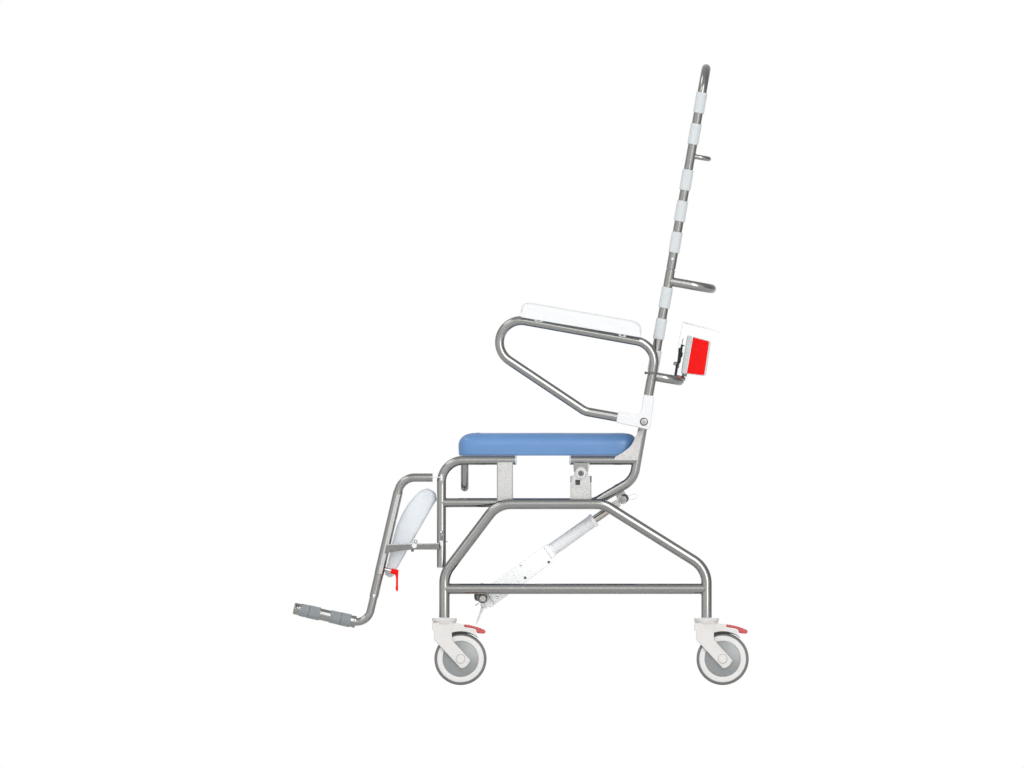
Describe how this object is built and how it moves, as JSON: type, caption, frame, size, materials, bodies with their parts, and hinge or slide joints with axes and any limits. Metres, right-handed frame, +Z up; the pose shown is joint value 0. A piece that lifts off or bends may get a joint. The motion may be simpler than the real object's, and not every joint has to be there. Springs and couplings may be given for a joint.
{
  "type": "shower commode chair",
  "caption": "Attendant-pushed steel shower commode chair with powered tilt, webbing back, flip-up arms, swing-away leg rests and braked castors.",
  "frame": {"origin": "middle of the overall length and width, on the floor under the castors", "axes": "+Z up, the chair faces -Y, the user's left is +X"},
  "size_m": [0.579, 1.1092, 1.5089],
  "materials": {
    "steel_tube": "satin polished stainless tube",
    "blasted_plate": "bead-blasted stainless plate, fine speckle",
    "bolt_steel": "turned stainless, polished",
    "castor_plastic": "moulded nylon, fine grain",
    "tyre": "grey non-marking rubber on a light rim",
    "pedal_red": "dark red moulded plastic",
    "cushion_blue": "soft moulded polyurethane skin, satin",
    "webbing_white": "pale woven webbing",
    "pad_white": "soft white moulded foam skin",
    "bracket_white": "white moulded plastic, satin",
    "calf_grey": "light grey moulded foam skin",
    "lever_red": "bright red moulded plastic",
    "actuator_white": "white moulded plastic, satin",
    "dark_bracket": "dark coated steel strip",
    "box_grey": "pale grey-green moulded plastic",
    "battery_red": "bright red moulded plastic",
    "cover_white": "thin white sheet"
  },
  "bodies": {
    "base": {"base_side_left": "steel_tube", "base_side_right": "steel_tube", "base_cross": "steel_tube", "pivot_bracket_left": "blasted_plate", "pivot_bracket_right": "blasted_plate", "pivot_bolt_left": "bolt_steel", "pivot_bolt_right": "bolt_steel"},
    "fork_front_left": {"castor_fork_front_left": "castor_plastic"},
    "fork_front_right": {"castor_fork_front_right": "castor_plastic"},
    "fork_rear_left": {"castor_fork_rear_left": "castor_plastic"},
    "fork_rear_right": {"castor_fork_rear_right": "castor_plastic"},
    "wheel_front_left": {"castor_wheel_front_left": "tyre"},
    "wheel_front_right": {"castor_wheel_front_right": "tyre"},
    "wheel_rear_left": {"castor_wheel_rear_left": "tyre"},
    "wheel_rear_right": {"castor_wheel_rear_right": "tyre"},
    "pedal_front_left": {"castor_pedal_front_left": "pedal_red"},
    "pedal_front_right": {"castor_pedal_front_right": "pedal_red"},
    "pedal_rear_left": {"castor_pedal_rear_left": "pedal_red"},
    "pedal_rear_right": {"castor_pedal_rear_right": "pedal_red"},
    "seat": {"seat_side_left": "steel_tube", "seat_side_right": "steel_tube", "seat_front_cross": "steel_tube", "seat_rear_cross": "steel_tube", "upper_pin": "bolt_steel", "push_handle": "steel_tube", "low_back_cross": "steel_tube", "seat_cushion": "cushion_blue", "upper_back_frame": "steel_tube", "back_strap_1": "webbing_white", "back_strap_2": "webbing_white", "back_strap_3": "webbing_white", "back_strap_4": "webbing_white", "back_strap_5": "webbing_white", "back_strap_6": "webbing_white", "back_strap_7": "webbing_white", "back_strap_8": "webbing_white", "box_bracket": "dark_bracket", "control_box": "box_grey", "battery_pack": "battery_red", "splash_cover": "cover_white"},
    "button_left": {"snap_button_left": "bolt_steel"},
    "button_right": {"snap_button_right": "bolt_steel"},
    "arm_left": {"arm_frame_left": "steel_tube", "arm_pad_left": "pad_white", "arm_bracket_left": "bracket_white"},
    "arm_right": {"arm_frame_right": "steel_tube", "arm_pad_right": "pad_white", "arm_bracket_right": "bracket_white"},
    "hanger_left": {"hanger_left": "steel_tube"},
    "hanger_right": {"hanger_right": "steel_tube"},
    "leg_left": {"leg_tube_left": "steel_tube"},
    "leg_right": {"leg_tube_right": "steel_tube"},
    "foot_left": {"footplate_left": "steel_tube"},
    "foot_right": {"footplate_right": "steel_tube"},
    "calf_left": {"calf_pad_left": "calf_grey"},
    "calf_right": {"calf_pad_right": "calf_grey"},
    "lever_left": {"clamp_lever_left": "lever_red"},
    "lever_right": {"clamp_lever_right": "lever_red"},
    "actuator": {"actuator_housing": "actuator_white"},
    "actuator_rod": {"actuator_rod": "bolt_steel"}
  },
  "joints": [
    {"name": "tilt", "type": "hinge", "parent": "base", "child": "seat", "pos_m": [0, 0.14723, 0.51475], "axis": [-1, 0, 0], "range_deg": [0, 25]},
    {"name": "actuator_swing", "type": "hinge", "parent": "base", "child": "actuator", "pos_m": [0.18, -0.09164, 0.20979], "axis": [-1, 0, 0], "range_deg": [0, 1.5]},
    {"name": "actuator_extend", "type": "slide", "parent": "actuator", "child": "actuator_rod", "axis": [0, 0.8161, 0.5779], "range_m": [-0.0515, 0]},
    {"name": "swivel_front_left", "type": "hinge", "parent": "base", "child": "fork_front_left", "pos_m": [0.252, -0.18495, 0.163], "axis": [0, 0, 1], "continuous": true},
    {"name": "swivel_front_right", "type": "hinge", "parent": "base", "child": "fork_front_right", "pos_m": [-0.252, -0.18495, 0.163], "axis": [0, 0, 1], "continuous": true},
    {"name": "swivel_rear_left", "type": "hinge", "parent": "base", "child": "fork_rear_left", "pos_m": [0.252, 0.45203, 0.163], "axis": [0, 0, 1], "continuous": true},
    {"name": "swivel_rear_right", "type": "hinge", "parent": "base", "child": "fork_rear_right", "pos_m": [-0.252, 0.45203, 0.163], "axis": [0, 0, 1], "continuous": true},
    {"name": "roll_front_left", "type": "hinge", "parent": "fork_front_left", "child": "wheel_front_left", "pos_m": [0.252, -0.14583, 0.0635], "axis": [1, 0, 0], "continuous": true},
    {"name": "roll_front_right", "type": "hinge", "parent": "fork_front_right", "child": "wheel_front_right", "pos_m": [-0.252, -0.14583, 0.0635], "axis": [1, 0, 0], "continuous": true},
    {"name": "roll_rear_left", "type": "hinge", "parent": "fork_rear_left", "child": "wheel_rear_left", "pos_m": [0.252, 0.49115, 0.0635], "axis": [1, 0, 0], "continuous": true},
    {"name": "roll_rear_right", "type": "hinge", "parent": "fork_rear_right", "child": "wheel_rear_right", "pos_m": [-0.252, 0.49115, 0.0635], "axis": [1, 0, 0], "continuous": true},
    {"name": "brake_front_left", "type": "hinge", "parent": "fork_front_left", "child": "pedal_front_left", "pos_m": [0.252, -0.13343, 0.14393], "axis": [1, 0, 0], "range_deg": [0, 18]},
    {"name": "brake_front_right", "type": "hinge", "parent": "fork_front_right", "child": "pedal_front_right", "pos_m": [-0.252, -0.13343, 0.14393], "axis": [1, 0, 0], "range_deg": [0, 18]},
    {"name": "brake_rear_left", "type": "hinge", "parent": "fork_rear_left", "child": "pedal_rear_left", "pos_m": [0.252, 0.50354, 0.14393], "axis": [1, 0, 0], "range_deg": [0, 18]},
    {"name": "brake_rear_right", "type": "hinge", "parent": "fork_rear_right", "child": "pedal_rear_right", "pos_m": [-0.252, 0.50354, 0.14393], "axis": [1, 0, 0], "range_deg": [0, 18]},
    {"name": "snap_left", "type": "slide", "parent": "seat", "child": "button_left", "axis": [-1, 0, 0], "range_m": [0, 0.003], "stiffness_N_per_m": 800},
    {"name": "snap_right", "type": "slide", "parent": "seat", "child": "button_right", "axis": [1, 0, 0], "range_m": [0, 0.003], "stiffness_N_per_m": 800},
    {"name": "arm_lift_left", "type": "hinge", "parent": "seat", "child": "arm_left", "pos_m": [0.262, 0.29984, 0.6399], "axis": [-1, 0, 0], "range_deg": [0, 92]},
    {"name": "arm_lift_right", "type": "hinge", "parent": "seat", "child": "arm_right", "pos_m": [-0.262, 0.29984, 0.6399], "axis": [-1, 0, 0], "range_deg": [0, 92]},
    {"name": "leg_swing_left", "type": "hinge", "parent": "seat", "child": "hanger_left", "pos_m": [0.222, -0.19212, 0.40103], "axis": [0, 0, 1], "range_deg": [0, 90]},
    {"name": "leg_swing_right", "type": "hinge", "parent": "seat", "child": "hanger_right", "pos_m": [-0.222, -0.19212, 0.40103], "axis": [0, 0, -1], "range_deg": [0, 90]},
    {"name": "leg_length_left", "type": "slide", "parent": "hanger_left", "child": "leg_left", "axis": [0, -0.2258, -0.9742], "range_m": [0, 0.08]},
    {"name": "leg_length_right", "type": "slide", "parent": "hanger_right", "child": "leg_right", "axis": [0, -0.2258, -0.9742], "range_m": [0, 0.08]},
    {"name": "foot_flip_left", "type": "hinge", "parent": "leg_left", "child": "foot_left", "pos_m": [0.222, -0.47509, 0.16957], "axis": [0, 0.9762, -0.2167], "range_deg": [0, 90]},
    {"name": "foot_flip_right", "type": "hinge", "parent": "leg_right", "child": "foot_right", "pos_m": [-0.222, -0.47509, 0.16957], "axis": [0, -0.9762, 0.2167], "range_deg": [0, 90]},
    {"name": "calf_tilt_left", "type": "hinge", "parent": "hanger_left", "child": "calf_left", "pos_m": [0.222, -0.25833, 0.33785], "axis": [1, 0, 0], "range_deg": [-10, 10]},
    {"name": "calf_tilt_right", "type": "hinge", "parent": "hanger_right", "child": "calf_right", "pos_m": [-0.222, -0.25833, 0.33785], "axis": [1, 0, 0], "range_deg": [-10, 10]},
    {"name": "clamp_left", "type": "hinge", "parent": "hanger_left", "child": "lever_left", "pos_m": [0.222, -0.34051, 0.28341], "axis": [0, -0.9742, 0.2258], "range_deg": [0, 90]},
    {"name": "clamp_right", "type": "hinge", "parent": "hanger_right", "child": "lever_right", "pos_m": [-0.222, -0.34051, 0.28341], "axis": [0, 0.9742, -0.2258], "range_deg": [0, 90]}
  ],
  "couplings": [
    {"joint": "actuator_swing", "follows": "tilt", "ratio": 0.0566},
    {"joint": "actuator_extend", "follows": "tilt", "m_per_rad": -0.11698}
  ]
}
